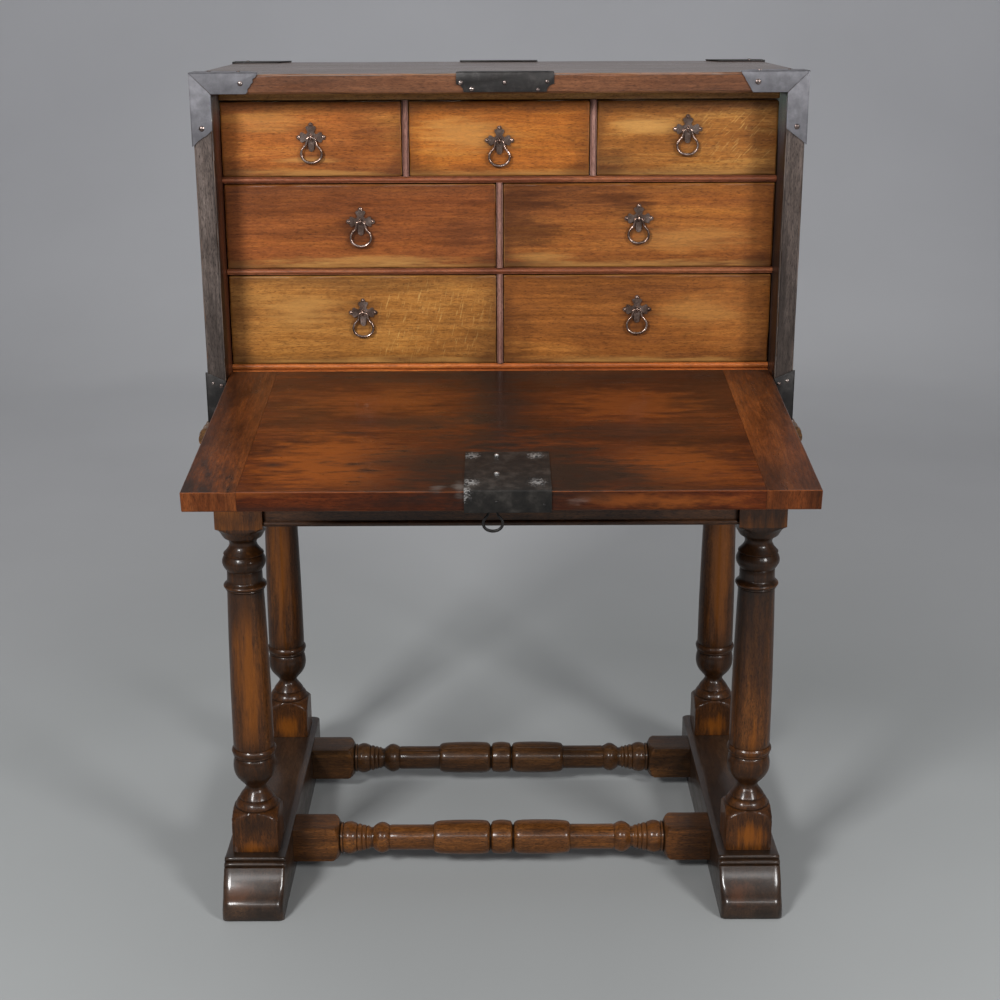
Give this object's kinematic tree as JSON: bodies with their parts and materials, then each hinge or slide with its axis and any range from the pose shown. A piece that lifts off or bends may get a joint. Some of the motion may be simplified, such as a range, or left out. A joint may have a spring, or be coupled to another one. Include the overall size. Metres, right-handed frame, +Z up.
{
  "type": "fall-front writing desk",
  "caption": "Iron-bound oak desk case with drawers behind a drop-down writing fall, on a stand with turned legs, sledge feet and pull-out arms under the fall.",
  "frame": {"origin": "on the floor, at the middle of the bounding box with the fall open", "axes": "+X to the right seen from the front, +Y to the back, +Z up"},
  "size_m": [0.8246, 0.816, 1.1959],
  "materials": {
    "case_oak": "dark waxed oak",
    "fall_oak": "polished oak, darkened",
    "drawer_oak": "waxed oak",
    "nest_oak": "waxed oak",
    "stand_oak": "dark polished oak",
    "wrought_iron": "forged, waxed"
  },
  "bodies": {
    "stand_and_case": {"case_back": "case_oak", "case_bottom": "case_oak", "case_side_left": "case_oak", "case_side_right": "case_oak", "case_top": "case_oak", "corner_iron_left": "wrought_iron", "corner_iron_right": "wrought_iron", "divider_lower": "nest_oak", "divider_middle": "nest_oak", "divider_top_left": "nest_oak", "divider_top_right": "nest_oak", "foot_left": "stand_oak", "foot_right": "stand_oak", "hinge_pin_left": "wrought_iron", "hinge_pin_right": "wrought_iron", "leg_back_left": "stand_oak", "leg_back_right": "stand_oak", "leg_front_left": "stand_oak", "leg_front_right": "stand_oak", "nest_plinth": "nest_oak", "nest_shelf_lower": "nest_oak", "nest_shelf_upper": "nest_oak", "nest_top_rail": "nest_oak", "stand_moulding_left": "stand_oak", "stand_moulding_right": "stand_oak", "stand_rail_back": "stand_oak", "stand_rail_front": "stand_oak", "stand_rail_left": "stand_oak", "stand_rail_right": "stand_oak", "stretcher_back": "stand_oak", "stretcher_front": "stand_oak", "strike_plate": "wrought_iron"},
    "fall": {"fall_panel": "fall_oak", "fall_cleat_left": "fall_oak", "fall_cleat_right": "fall_oak", "lock_plate": "wrought_iron"},
    "lock_ring": {"fall_ring": "wrought_iron"},
    "top_left_drawer": {"drawer_top_left": "drawer_oak", "pull_plate_top_left": "wrought_iron"},
    "top_left_ring": {"pull_ring_top_left": "wrought_iron"},
    "top_centre_drawer": {"drawer_top_centre": "drawer_oak", "pull_plate_top_centre": "wrought_iron"},
    "top_centre_ring": {"pull_ring_top_centre": "wrought_iron"},
    "top_right_drawer": {"drawer_top_right": "drawer_oak", "pull_plate_top_right": "wrought_iron"},
    "top_right_ring": {"pull_ring_top_right": "wrought_iron"},
    "middle_left_drawer": {"drawer_middle_left": "drawer_oak", "pull_plate_middle_left": "wrought_iron"},
    "middle_left_ring": {"pull_ring_middle_left": "wrought_iron"},
    "middle_right_drawer": {"drawer_middle_right": "drawer_oak", "pull_plate_middle_right": "wrought_iron"},
    "middle_right_ring": {"pull_ring_middle_right": "wrought_iron"},
    "lower_left_drawer": {"drawer_lower_left": "drawer_oak", "pull_plate_lower_left": "wrought_iron"},
    "lower_left_ring": {"pull_ring_lower_left": "wrought_iron"},
    "lower_right_drawer": {"drawer_lower_right": "drawer_oak", "pull_plate_lower_right": "wrought_iron"},
    "lower_right_ring": {"pull_ring_lower_right": "wrought_iron"},
    "left_loper": {"loper_left": "stand_oak"},
    "right_loper": {"loper_right": "stand_oak"}
  },
  "joints": [
    {"name": "fall_hinge", "type": "hinge", "parent": "stand_and_case", "child": "fall", "pos_m": [0, -0.02201, 0.77944], "axis": [1, 0, 0], "range_deg": [-97.5, 0]},
    {"name": "lock_ring_swing", "type": "hinge", "parent": "fall", "child": "lock_ring", "pos_m": [-0.01, -0.38624, 0.71475], "axis": [-1, 0, 0], "range_deg": [-80, 60]},
    {"name": "top_left_drawer_slide", "type": "slide", "parent": "stand_and_case", "child": "top_left_drawer", "axis": [0, -1, 0], "range_m": [0, 0.24]},
    {"name": "top_left_ring_swing", "type": "hinge", "parent": "top_left_drawer", "child": "top_left_ring", "pos_m": [-0.252, 0.01289, 1.10941], "axis": [-1, 0, 0], "range_deg": [0, 80]},
    {"name": "top_centre_drawer_slide", "type": "slide", "parent": "stand_and_case", "child": "top_centre_drawer", "axis": [0, -1, 0], "range_m": [0, 0.24]},
    {"name": "top_centre_ring_swing", "type": "hinge", "parent": "top_centre_drawer", "child": "top_centre_ring", "pos_m": [0, 0.01289, 1.10441], "axis": [-1, 0, 0], "range_deg": [0, 80]},
    {"name": "top_right_drawer_slide", "type": "slide", "parent": "stand_and_case", "child": "top_right_drawer", "axis": [0, -1, 0], "range_m": [0, 0.24]},
    {"name": "top_right_ring_swing", "type": "hinge", "parent": "top_right_drawer", "child": "top_right_ring", "pos_m": [0.252, 0.01289, 1.11841], "axis": [-1, 0, 0], "range_deg": [0, 80]},
    {"name": "middle_left_drawer_slide", "type": "slide", "parent": "stand_and_case", "child": "middle_left_drawer", "axis": [0, -1, 0], "range_m": [0, 0.24]},
    {"name": "middle_left_ring_swing", "type": "hinge", "parent": "middle_left_drawer", "child": "middle_left_ring", "pos_m": [-0.189, 0.01289, 0.99707], "axis": [-1, 0, 0], "range_deg": [0, 80]},
    {"name": "middle_right_drawer_slide", "type": "slide", "parent": "stand_and_case", "child": "middle_right_drawer", "axis": [0, -1, 0], "range_m": [0, 0.24]},
    {"name": "middle_right_ring_swing", "type": "hinge", "parent": "middle_right_drawer", "child": "middle_right_ring", "pos_m": [0.189, 0.01289, 1.00007], "axis": [-1, 0, 0], "range_deg": [0, 80]},
    {"name": "lower_left_drawer_slide", "type": "slide", "parent": "stand_and_case", "child": "lower_left_drawer", "axis": [0, -1, 0], "range_m": [0, 0.24]},
    {"name": "lower_left_ring_swing", "type": "hinge", "parent": "lower_left_drawer", "child": "lower_left_ring", "pos_m": [-0.189, 0.01289, 0.87236], "axis": [-1, 0, 0], "range_deg": [0, 80]},
    {"name": "lower_right_drawer_slide", "type": "slide", "parent": "stand_and_case", "child": "lower_right_drawer", "axis": [0, -1, 0], "range_m": [0, 0.24]},
    {"name": "lower_right_ring_swing", "type": "hinge", "parent": "lower_right_drawer", "child": "lower_right_ring", "pos_m": [0.189, 0.01289, 0.87536], "axis": [-1, 0, 0], "range_deg": [0, 80]},
    {"name": "left_loper_slide", "type": "slide", "parent": "stand_and_case", "child": "left_loper", "axis": [0, -1, 0], "range_m": [-0.246, 0]},
    {"name": "right_loper_slide", "type": "slide", "parent": "stand_and_case", "child": "right_loper", "axis": [0, -1, 0], "range_m": [-0.246, 0]}
  ]
}
